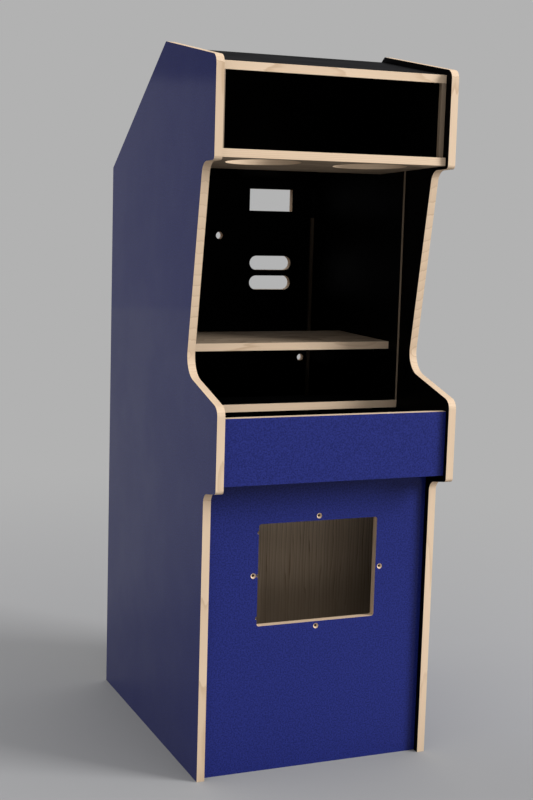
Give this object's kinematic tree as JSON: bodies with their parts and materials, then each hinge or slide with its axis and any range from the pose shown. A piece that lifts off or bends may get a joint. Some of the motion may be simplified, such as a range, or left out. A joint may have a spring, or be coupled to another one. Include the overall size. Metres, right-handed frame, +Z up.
{
  "type": "arcade cabinet",
  "caption": "Upright arcade cabinet shell of laminated plywood with open marquee, screen bay and control box, coin door cut-out, monitor shelf and hinged rear access door.",
  "frame": {"origin": "middle of the cabinet's footprint, on the floor", "axes": "+Z up, front faces -Y, +X to the right of a player who faces the screen"},
  "size_m": [0.6, 0.8344, 1.7115],
  "materials": {
    "blue_laminate": "fine stippled satin laminate on plywood",
    "black_laminate": "matt black laminate on plywood",
    "bare_ply": "bare sanded birch plywood",
    "zinc_steel": "bright zinc plated"
  },
  "bodies": {
    "cabinet": {"left_side_panel": "blue_laminate", "right_side_panel": "blue_laminate", "base_panel": "bare_ply", "front_panel": "blue_laminate", "control_front": "blue_laminate", "control_floor": "black_laminate", "vault_panel": "bare_ply", "bezel_sill": "black_laminate", "monitor_shelf": "bare_ply", "speaker_panel": "bare_ply", "top_panel": "black_laminate", "hood_panel": "black_laminate", "rear_rail": "black_laminate", "door_header": "black_laminate", "front_cleat_left": "black_laminate", "front_cleat_right": "black_laminate", "base_cleat_left": "bare_ply", "base_cleat_right": "bare_ply", "control_cleat_left": "black_laminate", "control_cleat_right": "black_laminate", "floor_cleat_left": "black_laminate", "floor_cleat_right": "black_laminate", "vault_cleat_left": "bare_ply", "vault_cleat_right": "bare_ply", "sill_cleat_left": "black_laminate", "sill_cleat_right": "black_laminate", "shelf_cleat_left": "black_laminate", "shelf_cleat_right": "black_laminate", "speaker_cleat_left": "black_laminate", "speaker_cleat_right": "black_laminate", "roof_cleat_left": "black_laminate", "roof_cleat_right": "black_laminate", "hood_cleat_left": "black_laminate", "hood_cleat_right": "black_laminate", "door_stop_left": "bare_ply", "door_stop_right": "bare_ply", "marquee_batten_left": "bare_ply", "marquee_batten_right": "bare_ply", "bezel_stop_left": "bare_ply", "bezel_stop_right": "bare_ply", "cleat_screws_left": "zinc_steel", "cleat_screws_right": "zinc_steel", "hinge_frame_leaves": "zinc_steel", "hinge_pins": "zinc_steel", "hinge_frame_screws": "zinc_steel"},
    "rear_door": {"rear_door": "black_laminate", "hinge_door_leaves": "zinc_steel", "hinge_door_screws": "zinc_steel"}
  },
  "joints": [
    {"name": "rear_door_hinge", "type": "hinge", "parent": "cabinet", "child": "rear_door", "pos_m": [-0.28, 0.414, 0.76011], "axis": [0, 0, 1], "range_deg": [0, 110]}
  ]
}
